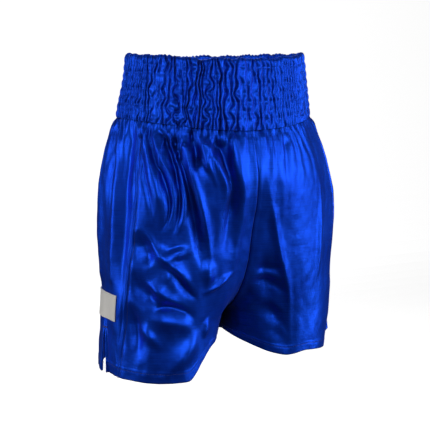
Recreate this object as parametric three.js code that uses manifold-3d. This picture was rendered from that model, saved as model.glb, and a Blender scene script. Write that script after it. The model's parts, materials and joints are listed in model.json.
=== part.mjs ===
// Boxing shorts: satin panels gathered onto a deep elasticated waistband, with a short vent at each side.
// Millimetres, +Z up. The wearer faces -Y, so the wearer's right leg is at -X. The origin is on the hem's
// lowest level, under the middle of the waist opening. Fabric is drawn as thin closed shells with a small
// gap at each seam. Each panel is one cloth on the real shorts: here it is parted along an arc about the
// hip axis, so that the leg below the arc can swing while the hip above it stays with the waistband.
import * as THREE from "three";
import { mergeVertices } from "three/addons/utils/BufferGeometryUtils.js";
import Module from "manifold-3d";

// ---- Driving dimensions -------------------------------------------------------------------------------
const WAIST_SEAM_Z = 375; // where the panels are sewn to the waistband
const WAISTBAND_HEIGHT = 100;
const TOP_Z = WAIST_SEAM_Z + WAISTBAND_HEIGHT;
const RIM_HALF_WIDTH = 141; // waistband at its top edge
const RIM_HALF_DEPTH = 106;
const SEAM_HALF_WIDTH = 153; // waistband at its lower edge
const SEAM_HALF_DEPTH = 116;
const LEG_CENTRE_X = 97; // middle of each leg opening
const LEG_HALF_WIDTH = 89;
const LEG_HALF_DEPTH = 98;
const INSEAM_LIFT = 38; // the hem is this much higher at the inner leg than at the side
const LIFT_SHARPNESS = 2.25; // the larger, the closer to the inner leg the hem starts to rise
const LIFT_FADES_AT = 200; // height where the lift of the hem has faded out of the cloth
const HIP_AXIS_Z = 280; // a leg swings about this height
const HIP_ARC_RADIUS = 156; // the cut between hip and leg, seen from the side
const CLOTH = 1.2; // panel thickness, satin with its overlocked edges
const HEM_DEPTH = 18; // height of the turned-up hem
const SEAM_GAP = 0.5; // clearance from a sewn edge to the seam line
const VENT_HEIGHT = 66;
const VENT_WIDTH = 8; // opening of the vent at the hem
const VENT_DEGREES = -4; // the vent stands this far ahead of the side line, so a little behind it
const SIDE_PANEL_DEGREES = { hem: 46, hip: 94 }; // width of the side panel, as an angle about the leg
const LABEL_BOTTOM = 84;
const LABEL_TOP = 124;
const LABEL_WIDTH = 66;
const ELASTIC_ROWS = 8;
const ELASTIC_WIDTH = 9;
const ELASTIC_THICKNESS = 1.2;
const CASING_WALL = 1.2;
const CASING_CAVITY = 4; // room for the elastics and the cord between the casing's two walls
const CORD_RADIUS = 1.4;
const CORD_EXIT_X = 16; // the cord leaves the casing at each side of the centre front
const CORD_TAIL_LENGTH = 90;
const RING_SEGMENTS = 48;
const ARC_SEGMENTS = 40; // facets of the arc between hip and leg

// Half-width of the body at the sides, and half-depth at the front and the back, by height: [height, size].
const SIDE_PROFILE = [[0, 188], [130, 190], [200, 192], [265, 190], [300, 184], [330, 175], [375, 155]];
const DEPTH_PROFILE = [[0, 138], [200, 140], [292, 139], [330, 133], [355, 126], [375, 117.5]];
// Share of the outline that follows the two leg tubes and not the one body ellipse: [height, share].
const LEG_SHARE = [[0, 1], [80, 0.96], [103, 0.87], [171, 0.57], [220, 0.44], [301, 0.11], [362, 0]];

const SATIN = { color: 0x1444cc, roughness: 0.35, metalness: 0 };
const ELASTIC = { color: 0xf2f2ee, roughness: 0.8, metalness: 0 };
const CORD = { color: 0xf4f4f0, roughness: 0.75, metalness: 0 };
const LABEL = { color: 0xe6e3dc, roughness: 0.6, metalness: 0 };
const THREAD = { color: 0x1238a8, roughness: 0.5, metalness: 0 };

const wasm = await Module();
wasm.setup();

// ---- Small helpers ------------------------------------------------------------------------------------

// Smooth value at height z from a table of [height, value], easing through each point.
function profile(table, z) {
  if (z <= table[0][0]) return table[0][1];
  const last = table[table.length - 1];
  if (z >= last[0]) return last[1];
  const i = table.findIndex((entry) => entry[0] > z) - 1;
  const [z0, v0] = table[i];
  const [z1, v1] = table[i + 1];
  const slopeAt = (k) => {
    const lower = table[Math.max(0, k - 1)];
    const upper = table[Math.min(table.length - 1, k + 1)];
    return (upper[1] - lower[1]) / (upper[0] - lower[0]);
  };
  const h = z1 - z0;
  const t = (z - z0) / h;
  const startShare = 2 * t ** 3 - 3 * t ** 2 + 1;
  const endShare = 3 * t ** 2 - 2 * t ** 3;
  const startSlope = (t ** 3 - 2 * t ** 2 + t) * h * slopeAt(i);
  const endSlope = (t ** 3 - t ** 2) * h * slopeAt(i + 1);
  return startShare * v0 + endShare * v1 + startSlope + endSlope;
}

const radians = THREE.MathUtils.degToRad;
const mix = (from, to, share) => from + (to - from) * share;
const steps = (count, value) => Array.from({ length: count + 1 }, (_, i) => value(i / count));

function named(name, geometry, look) {
  const mesh = new THREE.Mesh(geometry, new THREE.MeshStandardMaterial(look));
  mesh.name = name;
  return mesh;
}

function solidOf(geometry) {
  const bare = geometry.clone();
  bare.deleteAttribute("normal");
  bare.deleteAttribute("uv");
  const merged = mergeVertices(bare, 1e-4);
  const vertProperties = new Float32Array(merged.attributes.position.array);
  const triVerts = new Uint32Array(merged.index.array);
  return new wasm.Manifold(new wasm.Mesh({ numProp: 3, vertProperties, triVerts }));
}

function geometryOf(solid) {
  const mesh = solid.getMesh();
  const geometry = new THREE.BufferGeometry();
  geometry.setAttribute("position", new THREE.BufferAttribute(mesh.vertProperties, 3));
  geometry.setIndex(new THREE.BufferAttribute(mesh.triVerts, 1));
  geometry.computeVertexNormals();
  return geometry;
}

// A closed shell from a grid of outer points and a matching grid of inner points, each [row][column].
function shellGeometry(outer, inner) {
  const rows = outer.length;
  const columns = outer[0].length;
  const points = [...outer.flat(), ...inner.flat()];
  const outerAt = (r, c) => r * columns + c;
  const innerAt = (r, c) => rows * columns + r * columns + c;
  const index = [];
  const quad = (a, b, c, d) => index.push(a, b, c, a, c, d);
  for (let r = 0; r < rows - 1; r++) {
    for (let c = 0; c < columns - 1; c++) {
      quad(outerAt(r, c), outerAt(r, c + 1), outerAt(r + 1, c + 1), outerAt(r + 1, c));
      quad(innerAt(r, c), innerAt(r + 1, c), innerAt(r + 1, c + 1), innerAt(r, c + 1));
    }
  }
  for (let c = 0; c < columns - 1; c++) {
    quad(outerAt(0, c), innerAt(0, c), innerAt(0, c + 1), outerAt(0, c + 1));
    quad(outerAt(rows - 1, c), outerAt(rows - 1, c + 1), innerAt(rows - 1, c + 1), innerAt(rows - 1, c));
  }
  for (let r = 0; r < rows - 1; r++) {
    quad(outerAt(r, 0), outerAt(r + 1, 0), innerAt(r + 1, 0), innerAt(r, 0));
    const end = columns - 1;
    quad(outerAt(r, end), innerAt(r, end), innerAt(r + 1, end), outerAt(r + 1, end));
  }
  const geometry = new THREE.BufferGeometry().setFromPoints(points);
  geometry.setIndex(index);
  geometry.computeVertexNormals();
  return geometry;
}

// The same geometry on the wearer's other side.
function mirrored(geometry) {
  const copy = geometry.clone().scale(-1, 1, 1);
  const index = Array.from(copy.index.array);
  for (let i = 0; i < index.length; i += 3) [index[i + 1], index[i + 2]] = [index[i + 2], index[i + 1]];
  copy.setIndex(index);
  copy.computeVertexNormals();
  return copy;
}

// ---- The body's outline -------------------------------------------------------------------------------
// At each height the right half is drawn around the middle of the right leg. The angle is 0 at the side,
// 90 at the front, -90 at the back, and 180 or -180 at the inner leg. A level is a height before the hem's
// lift.

function outlineRadius(angle, z) {
  const cos = Math.cos(angle);
  const sin = Math.sin(angle);
  const a = profile(SIDE_PROFILE, z);
  const b = profile(DEPTH_PROFILE, z);
  const A = (cos / a) ** 2 + (sin / b) ** 2;
  const B = (2 * LEG_CENTRE_X * cos) / a ** 2;
  const C = (LEG_CENTRE_X / a) ** 2 - 1;
  const body = (-B + Math.sqrt(B * B - 4 * A * C)) / (2 * A);
  const leg = 1 / Math.hypot(cos / LEG_HALF_WIDTH, sin / LEG_HALF_DEPTH);
  return mix(body, leg, profile(LEG_SHARE, z));
}

// The hem rises from the side to the inner leg, and the cloth above it rises less and less.
function liftedHeight(angle, level) {
  const rise = INSEAM_LIFT * ((1 - Math.cos(angle)) / 2) ** LIFT_SHARPNESS;
  return level + rise * Math.max(0, 1 - level / LIFT_FADES_AT) ** 2;
}

function outlinePoint(angle, level, offset = 0) {
  const z = liftedHeight(angle, level);
  const step = 1e-3;
  const at = (t) => {
    const r = outlineRadius(t, z);
    return new THREE.Vector2(-LEG_CENTRE_X - r * Math.cos(t), -r * Math.sin(t));
  };
  const along = at(angle + step).sub(at(angle - step)).normalize();
  const point = at(angle).addScaledVector(new THREE.Vector2(along.y, -along.x), offset);
  return new THREE.Vector3(point.x, point.y, z);
}

// The angle where the outline meets the centre seam, or the inner leg seam below the crotch.
function innerAngle(level, side) {
  const crosses = (angle) => {
    const reach = -outlineRadius(angle, liftedHeight(angle, level)) * Math.cos(angle);
    return reach > LEG_CENTRE_X - SEAM_GAP;
  };
  const seam = Math.PI - SEAM_GAP / LEG_HALF_WIDTH;
  if (!crosses(side * seam)) return side * seam;
  let low = Math.PI / 2;
  let high = seam;
  const halvings = 40;
  for (let i = 0; i < halvings; i++) {
    const middle = (low + high) / 2;
    if (crosses(side * middle)) high = middle;
    else low = middle;
  }
  return side * low;
}

// Side seams: the vent line runs down the side panel's middle, and the panel widens towards the hip.
const ventAngle = radians(VENT_DEGREES);
function sidePanelHalfAngle(level) {
  const towardsHip = Math.min(1, level / HIP_AXIS_Z);
  return radians(mix(SIDE_PANEL_DEGREES.hem, SIDE_PANEL_DEGREES.hip, towardsHip)) / 2;
}
const sideFrontAngle = (level) => ventAngle + sidePanelHalfAngle(level);
const sideBackAngle = (level) => ventAngle - sidePanelHalfAngle(level);

// A piece of cloth on the outline, between two angles that depend on the level. A positive offset lies
// outside.
function clothGeometry(levels, columns, startAngle, endAngle, thicknessAt, offset = 0) {
  const angleAt = (z, share) => mix(startAngle(z), endAngle(z), share);
  const grid = (depthAt) =>
    levels.map((z) => steps(columns, (share) => outlinePoint(angleAt(z, share), z, depthAt(z))));
  return shellGeometry(grid(() => offset), grid((z) => offset - thicknessAt(z)));
}

const panelThickness = (level) => (level <= HEM_DEPTH ? 2 * CLOTH : CLOTH);
const HEM_LEVELS = [0, HEM_DEPTH, HEM_DEPTH + 1];
const PANEL_COLUMNS = 11;
const SIDE_COLUMNS = 6;
const PANEL_LEVELS = [...HEM_LEVELS, 50, 80, 105, 135, 175, 220, 270, 315, 345, WAIST_SEAM_Z - SEAM_GAP];
const seamAngle = SEAM_GAP / LEG_HALF_WIDTH;

function frontPanel() {
  const start = (level) => sideFrontAngle(level) + seamAngle;
  return clothGeometry(PANEL_LEVELS, PANEL_COLUMNS, start, (level) => innerAngle(level, 1), panelThickness);
}

function backPanel() {
  const end = (level) => sideBackAngle(level) - seamAngle;
  return clothGeometry(PANEL_LEVELS, PANEL_COLUMNS, (level) => innerAngle(level, -1), end, panelThickness);
}

// The side panel, with the vent cut as a narrow wedge up from the hem.
function sidePanel() {
  const start = (level) => sideBackAngle(level) + seamAngle;
  const end = (level) => sideFrontAngle(level) - seamAngle;
  const panel = clothGeometry(PANEL_LEVELS, SIDE_COLUMNS, start, end, panelThickness);
  const ventY = outlinePoint(ventAngle, 0).y;
  const belowHem = -1;
  const wedge = new THREE.Shape([
    new THREE.Vector2(ventY - VENT_WIDTH / 2, belowHem),
    new THREE.Vector2(ventY + VENT_WIDTH / 2, belowHem),
    new THREE.Vector2(ventY, VENT_HEIGHT),
  ]);
  const reach = 30;
  const cutter = alongX(wedge, reach).translate(-LEG_CENTRE_X - LEG_HALF_WIDTH - reach / 2, 0, 0);
  return geometryOf(solidOf(panel).subtract(solidOf(cutter)));
}

// A flat outline in the side view (Y across, Z up), drawn out along X.
function alongX(outline, length) {
  const options = { depth: length, bevelEnabled: false, curveSegments: ARC_SEGMENTS };
  const geometry = new THREE.ExtrudeGeometry(outline, options);
  const sideView = new THREE.Matrix4().makeBasis(
    new THREE.Vector3(0, 1, 0),
    new THREE.Vector3(0, 0, 1),
    new THREE.Vector3(1, 0, 0),
  );
  return geometry.applyMatrix4(sideView);
}

// The space of the hip, in the side view: a half disc under the hip axis, and everything above the axis.
function hipSpace(radius) {
  const outline = new THREE.Shape();
  outline.absarc(0, HIP_AXIS_Z, radius, Math.PI, 2 * Math.PI);
  outline.lineTo(radius, TOP_Z);
  outline.lineTo(-radius, TOP_Z);
  const spare = 20;
  const length = 2 * (LEG_CENTRE_X + LEG_HALF_WIDTH + spare);
  return solidOf(alongX(outline, length).translate(-length / 2, 0, 0));
}

const hipPart = (panel) => geometryOf(solidOf(panel).intersect(hipSpace(HIP_ARC_RADIUS - SEAM_GAP / 2)));
const legPart = (panel) => geometryOf(solidOf(panel).subtract(hipSpace(HIP_ARC_RADIUS + SEAM_GAP / 2)));

// A small piece sewn on the outside of the side panel, centred on the vent line.
function sewnOnSide({ bottom, top, width, thickness, rows, columns }) {
  const clearance = 0.5;
  const half = width / 2 / LEG_HALF_WIDTH;
  const levels = steps(rows, (s) => mix(bottom, top, s));
  const start = () => ventAngle - half;
  const end = () => ventAngle + half;
  return clothGeometry(levels, columns, start, end, () => thickness, clearance + thickness);
}

// The thread block sewn across the top of a vent.
const barTack = () => sewnOnSide({
  bottom: VENT_HEIGHT + 2,
  top: VENT_HEIGHT + 5,
  width: 9,
  thickness: 0.8,
  rows: 1,
  columns: 4,
});

// The blank woven patch on the right side panel, above the vent.
const labelPatch = () => sewnOnSide({
  bottom: LABEL_BOTTOM,
  top: LABEL_TOP,
  width: LABEL_WIDTH,
  thickness: 0.8,
  rows: 4,
  columns: 10,
});

// ---- The waistband ------------------------------------------------------------------------------------

// A point in the waistband at a turn around it, a height, and a depth in from the outer face.
function bandPoint(turn, z, depth) {
  const share = (z - WAIST_SEAM_Z) / WAISTBAND_HEIGHT;
  const a = mix(SEAM_HALF_WIDTH, RIM_HALF_WIDTH, share) - depth;
  const b = mix(SEAM_HALF_DEPTH, RIM_HALF_DEPTH, share) - depth;
  return new THREE.Vector3(a * Math.cos(turn), b * Math.sin(turn), z);
}

// A closed ring whose section is a loop of [depth, height] points.
function bandRing(section) {
  const points = [];
  const index = [];
  const n = section.length;
  for (let s = 0; s < RING_SEGMENTS; s++) {
    const turn = (s / RING_SEGMENTS) * 2 * Math.PI;
    section.forEach(([depth, z]) => points.push(bandPoint(turn, z, depth)));
  }
  for (let s = 0; s < RING_SEGMENTS; s++) {
    const next = (s + 1) % RING_SEGMENTS;
    for (let k = 0; k < n; k++) {
      const a = s * n + k;
      const b = s * n + ((k + 1) % n);
      const c = next * n + ((k + 1) % n);
      const d = next * n + k;
      index.push(a, b, c, a, c, d);
    }
  }
  const geometry = new THREE.BufferGeometry().setFromPoints(points);
  geometry.setIndex(index);
  geometry.computeVertexNormals();
  return geometry;
}

const ROW_PITCH = WAISTBAND_HEIGHT / ELASTIC_ROWS;
const CORD_Z = TOP_Z - ROW_PITCH; // between the first and second elastics
const CORD_DEPTH = CASING_WALL + CASING_CAVITY / 2;
const CASING_DEPTH = 2 * CASING_WALL + CASING_CAVITY;
const FRONT_TURN = -Math.PI / 2;
const cordExitTurn = (side) => FRONT_TURN + side * (CORD_EXIT_X / RIM_HALF_WIDTH);

// One strip of satin folded over at the rim, open along its lower edge, with two holes for the cord.
function waistbandCasing() {
  const inner = CASING_WALL + CASING_CAVITY;
  const ring = bandRing([
    [0, WAIST_SEAM_Z],
    [CASING_WALL, WAIST_SEAM_Z],
    [CASING_WALL, TOP_Z - CASING_WALL],
    [inner, TOP_Z - CASING_WALL],
    [inner, WAIST_SEAM_Z],
    [CASING_DEPTH, WAIST_SEAM_Z],
    [CASING_DEPTH, TOP_Z],
    [0, TOP_Z],
  ]);
  const holeLength = 12;
  const holeRadius = CORD_RADIUS + 0.8;
  let casing = solidOf(ring);
  for (const side of [-1, 1]) {
    const start = bandPoint(cordExitTurn(side), CORD_Z, CORD_DEPTH);
    const hole = new THREE.CylinderGeometry(holeRadius, holeRadius, holeLength, 12);
    hole.translate(start.x, start.y + holeLength / 2, CORD_Z);
    casing = casing.subtract(solidOf(hole));
  }
  return geometryOf(casing);
}

function elasticStrip(row) {
  const middle = TOP_Z - ROW_PITCH * (row - 0.5);
  const near = CORD_DEPTH - ELASTIC_THICKNESS / 2;
  const far = CORD_DEPTH + ELASTIC_THICKNESS / 2;
  const low = middle - ELASTIC_WIDTH / 2;
  const high = middle + ELASTIC_WIDTH / 2;
  return bandRing([[near, low], [far, low], [far, high], [near, high]]);
}

// A round cord along a curve, closed at both ends.
function cordAlong(points, count) {
  const section = new THREE.Shape().absarc(0, 0, CORD_RADIUS, 0, 2 * Math.PI);
  const path = new THREE.CatmullRomCurve3(points);
  return new THREE.ExtrudeGeometry(section, { steps: count, curveSegments: 4, extrudePath: path });
}

// The cord inside the casing: round the back from one exit hole to the other.
function drawCord() {
  const from = cordExitTurn(1);
  const to = cordExitTurn(-1) + 2 * Math.PI;
  return cordAlong(steps(RING_SEGMENTS, (s) => bandPoint(mix(from, to, s), CORD_Z, CORD_DEPTH)), 60);
}

// The free end of the cord: from just inside its hole down the inside of the waistband, to a knot.
function cordTail(side) {
  const clearance = 0.4;
  const top = bandPoint(cordExitTurn(side), CORD_Z, CASING_DEPTH + CORD_RADIUS + clearance);
  const inwards = 2.4;
  const sway = side * 4;
  const knotDrop = CORD_TAIL_LENGTH - 8;
  const at = (x, y, drop) => new THREE.Vector3(top.x + x, top.y + y, top.z - drop);
  const path = [
    at(0, 0, 0),
    at(0, inwards * 0.8, 1.5),
    at(0.3 * sway, inwards, 8),
    at(sway, inwards, CORD_TAIL_LENGTH / 2),
    at(sway * 0.8, inwards, CORD_TAIL_LENGTH),
  ];
  const knot = new THREE.SphereGeometry(CORD_RADIUS * 2, 10, 8);
  const knotAt = at(sway * 0.8, inwards, knotDrop);
  knot.scale(1, 1, 1.25).translate(knotAt.x, knotAt.y, knotAt.z);
  return geometryOf(solidOf(cordAlong(path, 16)).add(solidOf(knot)));
}

// The blank care label, sewn under the inner wall at the centre back and hanging free.
function careLabel() {
  const width = 32;
  const length = 48;
  const thickness = 0.8;
  const clearance = 2;
  const seam = bandPoint(Math.PI / 2, WAIST_SEAM_Z + 8, CASING_DEPTH);
  const geometry = new THREE.BoxGeometry(width, thickness, length);
  return geometry.translate(0, seam.y - clearance, seam.z - length / 2);
}

// ---- The assembly -------------------------------------------------------------------------------------
const shorts = new THREE.Group();

const waistband = new THREE.Group();
waistband.add(named("waistband_casing", waistbandCasing(), SATIN));
for (let row = 1; row <= ELASTIC_ROWS; row++) {
  waistband.add(named(`elastic_strip_${row}`, elasticStrip(row), ELASTIC));
}
waistband.add(named("draw_cord", drawCord(), CORD));
waistband.add(named("cord_tail_right", cordTail(-1), CORD));
waistband.add(named("cord_tail_left", cordTail(1), CORD));
waistband.add(named("care_label", careLabel(), LABEL));
shorts.add(waistband);

const panels = [
  ["front_panel", frontPanel()],
  ["back_panel", backPanel()],
  ["side_panel", sidePanel()],
];
const sides = [
  ["right", (geometry) => geometry],
  ["left", mirrored],
];
for (const [side, onSide] of sides) {
  const leg = new THREE.Group();
  for (const [name, panel] of panels) {
    leg.add(named(`${name}_hip_${side}`, onSide(hipPart(panel)), SATIN));
    leg.add(named(`${name}_leg_${side}`, onSide(legPart(panel)), SATIN));
  }
  leg.add(named(`vent_bar_tack_${side}`, onSide(barTack()), THREAD));
  shorts.add(leg);
}
shorts.add(named("label_patch", labelPatch(), LABEL));

export default shorts;
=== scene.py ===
"""Boxing shorts in royal blue satin, with a shirred waistband, hems, vents, patch, cord and care label.

The frame is in metres: +Z up, the wearer faces -Y, the wearer's right is -X. The sizes below are in
millimetres, and MM turns them into metres where a mesh is made. A turn is an angle in radians about the
waist, and a number of degrees is an angle about the middle of a leg.
"""
import json
import math

import bpy
import numpy as np
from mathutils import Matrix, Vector, noise


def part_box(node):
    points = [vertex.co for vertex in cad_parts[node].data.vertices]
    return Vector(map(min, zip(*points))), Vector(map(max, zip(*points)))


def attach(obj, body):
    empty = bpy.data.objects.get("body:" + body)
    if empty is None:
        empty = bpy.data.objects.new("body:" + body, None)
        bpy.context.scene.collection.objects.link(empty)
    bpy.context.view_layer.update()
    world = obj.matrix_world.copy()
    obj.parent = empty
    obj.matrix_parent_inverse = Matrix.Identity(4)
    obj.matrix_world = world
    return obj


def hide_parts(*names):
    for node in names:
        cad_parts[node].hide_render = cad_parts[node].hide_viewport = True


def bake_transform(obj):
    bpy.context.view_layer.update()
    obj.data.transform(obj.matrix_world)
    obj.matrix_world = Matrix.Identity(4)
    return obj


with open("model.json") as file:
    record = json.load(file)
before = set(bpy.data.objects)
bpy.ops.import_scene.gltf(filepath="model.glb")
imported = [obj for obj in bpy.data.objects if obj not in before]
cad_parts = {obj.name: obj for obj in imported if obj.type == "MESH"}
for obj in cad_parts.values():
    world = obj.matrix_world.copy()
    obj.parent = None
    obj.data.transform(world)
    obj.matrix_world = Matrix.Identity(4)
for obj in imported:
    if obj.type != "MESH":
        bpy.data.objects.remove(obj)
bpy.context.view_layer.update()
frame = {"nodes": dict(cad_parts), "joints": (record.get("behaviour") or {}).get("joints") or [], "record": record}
NODES = frame["nodes"]
JOINTS = {joint["name"]: joint for joint in frame["joints"]}

MM = 0.001
SIDES = {"right": -1, "left": 1}

# ---- Sizes from the frame ----


def box_mm(node):
    low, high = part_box(node)
    return np.array(low) / MM, np.array(high) / MM


CASING_LOW, CASING_HIGH = box_mm("waistband_casing")
SEAM_Z = CASING_LOW[2]
TOP_Z = CASING_HIGH[2]
SEAM_HALF = CASING_HIGH[:2]
ELASTIC_ROWS = sum(name.startswith("elastic_strip") for name in NODES)
FIRST_STRIP = box_mm("elastic_strip_1")
LAST_STRIP = box_mm(f"elastic_strip_{ELASTIC_ROWS}")
BAND_SLOPE = (FIRST_STRIP[1] - LAST_STRIP[1])[:2] / (FIRST_STRIP[0] - LAST_STRIP[0])[2]
RIM_MOUNT_Y = frame["record"]["mounts"][0]["pos_m"][1] / MM  # in the middle of the rim's thickness
CASING_DEPTH = 2 * (SEAM_HALF[1] + BAND_SLOPE[1] * (TOP_Z - SEAM_Z) + RIM_MOUNT_Y)
LEG_CENTRE_X = JOINTS["left_leg_swing"]["pos_m"][0] / MM
LEG_HALF_WIDTH = -box_mm("side_panel_leg_right")[0][0] - LEG_CENTRE_X

# ---- Outline and folds ----
# Each half is drawn around the middle of its leg. The angle is 0 at the side, 90 at the front, -90 at the
# back and 180 or -180 at the inner leg. A profile is a list of (height or angle, value). Where a size has
# two values, -1 is for the wearer's right and 1 for the left.
LEG_HALF_DEPTH = 98
SIDE_PROFILE = [
    (0, 185), (130, 185), (200, 186), (265, 183), (300, 176), (330, 167), (355, 158), (375, 151.5),
]
DEPTH_PROFILE = [(0, 138), (200, 140), (292, 139), (330, 132), (355, 124), (375, 114.8)]
LEG_SHARE = [(0, 1), (80, 0.96), (103, 0.87), (171, 0.57), (220, 0.44), (301, 0.11), (362, 0)]
CROTCH_Z = 80
HEM_RISE = {
    -1: [
        (-180, 46), (-150, 40), (-110, 14), (-80, 3), (0, 0), (84, 0), (92, 3), (108, 32), (125, 48),
        (180, 46),
    ],
    1: [
        (-180, 46), (-150, 38), (-110, 20), (-60, 30), (2, 32), (7, 13), (40, 12), (86, 22), (108, 17),
        (150, 34), (180, 46),
    ],
}
RISE_FADES_AT = 190
LEG_SHAPE_FADES_AT = 150
INNER_FLATNESS = {-1: 14, 1: 6}  # how far the front of the inner leg is drawn in at the hem
FRONT_TUCK = {-1: 0, 1: 9}  # how far the cloth ahead of the vent hangs inwards at the hem
FLAP_FLARE = {-1: 8, 1: 18}  # how far the cloth behind the vent stands out at the hem
LEAN = 6.5  # the body of the shorts hangs this far towards the wearer's left
FOLD_SCALE = 1.5
FOLD_WIDEN = 1.15
FOLD_SHARPNESS = 1.75  # 2 gives round folds, and less gives crests with a finer edge
FOLD_CREST_LIMIT = 12
FROM_WAIST = 330  # a fold that starts above this height comes out of the waist seam
UNEVENNESS = {-1: 1.6, 1: 0.6}
VENT_DEGREES = {-1: -4, 1: 4}
VENT_HEIGHT = 66
SIDE_PANEL_DEGREES = [(0, 46), (280, 94)]
LABEL_Z = (84, 124)
LABEL_WIDTH = 66
PATCH_FLATTENS = 0.75  # share of the folds that the patch takes out of the cloth under it

# Folds of each half: (height out of the cloth, half-width, path of (angle, height) points).
RIGHT_FOLDS = [
    (-2.5, 6, [(-10, 355), (3, 315), (5, 265), (4, 220)]),
    (2.5, 8, [(13, 345), (13, 245), (11, 160), (9, 130)]),
    (-6.0, 13, [(27, 345), (27, 245), (24, 190), (24, 120)]),
    (-3.0, 4, [(48, 350), (51, 310), (56, 275), (58, 235)]),
    (4.5, 11, [(54, 362), (60, 310), (65, 270), (67, 232)]),
    (-4.0, 4, [(56, 365), (63, 325), (69, 300), (72, 268), (70, 240), (64, 222)]),
    (2.5, 3.5, [(63, 355), (70, 325), (76, 295), (76, 262), (71, 232)]),
    (-4.0, 4, [(72, 362), (77, 330), (79, 300), (80, 268), (78, 240), (73, 218)]),
    (3.5, 4, [(76, 362), (80, 335), (83, 305), (84, 270), (82, 240), (77, 218)]),
    (-6.5, 7, [(81, 350), (85, 305), (88, 270), (92, 230), (95, 190), (99, 162)]),
    (4.5, 5, [(89, 345), (90, 315), (92, 285), (96, 250), (101, 210), (105, 165)]),
    (-6.0, 6, [(97, 375), (95, 340), (92, 310)]),
    (3.5, 4, [(101, 375), (100, 340), (102, 315), (105, 285)]),
    (5.0, 6, [(103, 350), (107, 318), (111, 285), (109, 250)]),
    (-7.0, 7, [(111, 350), (112, 310), (115, 275), (115, 240), (113, 180)]),
    (3.5, 7, [(119, 362), (118, 310), (121, 270), (123, 215), (123, 160)]),
    (-7.0, 12, [(43, 228), (49, 195), (56, 172)]),
    (6.0, 8, [(51, 230), (59, 205), (67, 187), (77, 172), (85, 152), (93, 132)]),
    (4.0, 12, [(76, 204), (80, 182)]),
    (-5.0, 6, [(64, 178), (75, 165), (81, 150), (88, 134), (96, 122)]),
    (-5.0, 11, [(36, 172), (45, 142), (56, 126), (66, 108)]),
    (5.5, 9, [(50, 152), (63, 138), (73, 126), (85, 108)]),
    (3.5, 14, [(68, 176), (80, 132)]),
    (-4.5, 6, [(57, 106), (66, 114), (75, 114), (85, 106), (95, 94)]),
    (5.5, 12, [(53, 104), (66, 94), (82, 88), (95, 70)]),
    (-8.0, 13, [(34, 120), (38, 75), (44, 25)]),
    (3.5, 8, [(41, 82), (53, 72), (66, 50)]),
    (5.0, 10, [(96, 80), (90, 55), (80, 32), (68, 10)]),
    (4.0, 7, [(101, 186), (103, 140)]),
    (4.0, 4, [(125, 160), (115, 150), (108, 140), (98, 130)]),
    (3.0, 5, [(108, 95), (105, 60)]),
]
LEFT_FOLDS = [
    (3.5, 5, [
        (123, 320), (122, 290), (119, 235), (115, 185), (111, 155), (106, 115), (104, 70), (101, 15),
    ]),
    (-4.5, 14, [(130, 215), (124, 130), (116, 40)]),
    (-3.0, 8, [(139, 168), (125, 156), (108, 162)]),
    (-4.0, 9, [(141, 128), (125, 135), (105, 112)]),
    (2.5, 8, [(138, 145), (124, 147), (108, 138)]),
    (-2.5, 10, [(141, 100), (121, 85), (103, 48)]),
    (2.0, 9, [(138, 112), (122, 103), (104, 78)]),
    (-1.5, 9, [(128, 62), (112, 46), (98, 10)]),
    (2.5, 5, [(77, 310), (75, 195), (76, 120)]),
    (-1.5, 5, [(109, 350), (111, 280)]),
    (-8.0, 16, [(142, 150), (150, 96)]),
    (4.0, 14, [(48, 362), (46, 260), (44, 120)]),
    (-4.0, 10, [(28, 362), (26, 240), (24, 110)]),
    (3.5, 10, [(8, 362), (6, 240), (2, 120)]),
]
BACK_FOLDS = [
    (4.5, 12, [(-20, 362), (-22, 240), (-20, 100), (-20, 20)]),
    (-4.5, 9, [(-36, 362), (-38, 230), (-34, 90)]),
    (5.0, 14, [(-56, 362), (-58, 240), (-62, 120), (-64, 20)]),
    (-4.5, 9, [(-74, 362), (-76, 250), (-82, 160), (-88, 90)]),
    (4.5, 12, [(-90, 362), (-92, 260), (-96, 190)]),
    (-5.0, 9, [(-104, 362), (-106, 280), (-112, 200), (-122, 150)]),
    (4.5, 10, [(-115, 362), (-116, 290), (-124, 220)]),
    (-4.5, 8, [(-60, 190), (-76, 170), (-96, 156), (-118, 150)]),
    (-4.0, 8, [(-96, 120), (-116, 112), (-140, 100)]),
]


def profile(table, x):
    """Smooth curve through a table of (x, value), flat beyond its ends."""
    xs, values = np.array(table, float).T
    x = np.clip(x, xs[0], xs[-1])
    inner = (values[2:] - values[:-2]) / (xs[2:] - xs[:-2])
    ends = np.diff(values) / np.diff(xs)
    slopes = np.concatenate([ends[:1], inner, ends[-1:]])
    i = np.clip(np.searchsorted(xs, x, side="right") - 1, 0, len(xs) - 2)
    h = xs[i + 1] - xs[i]
    t = (x - xs[i]) / h
    start = 2 * t**3 - 3 * t**2 + 1
    rise = (t**3 - 2 * t**2 + t) * h * slopes[i] + (t**3 - t**2) * h * slopes[i + 1]
    return start * values[i] + (1 - start) * values[i + 1] + rise


def smooth_path(points, count):
    """Evenly numbered points on a smooth curve through a few given ones."""
    points = np.array(points, float)
    order = np.linspace(0, len(points) - 1, count)
    axes = range(points.shape[1])
    return np.stack([profile(list(enumerate(points[:, k])), order) for k in axes], axis=1)


def smoothstep(low, high, x):
    """Smooth rise from 0 at low to 1 at high, or a fall if low is above high."""
    t = np.clip((x - low) / (high - low), 0, 1)
    return t * t * (3 - 2 * t)


def bell(x):
    """1 at zero, and a smooth fall to almost nothing at 2 on either side."""
    return np.exp(-(x**2))


def unit(vectors):
    return vectors / np.maximum(np.linalg.norm(vectors, axis=-1, keepdims=True), 1e-9)


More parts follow.
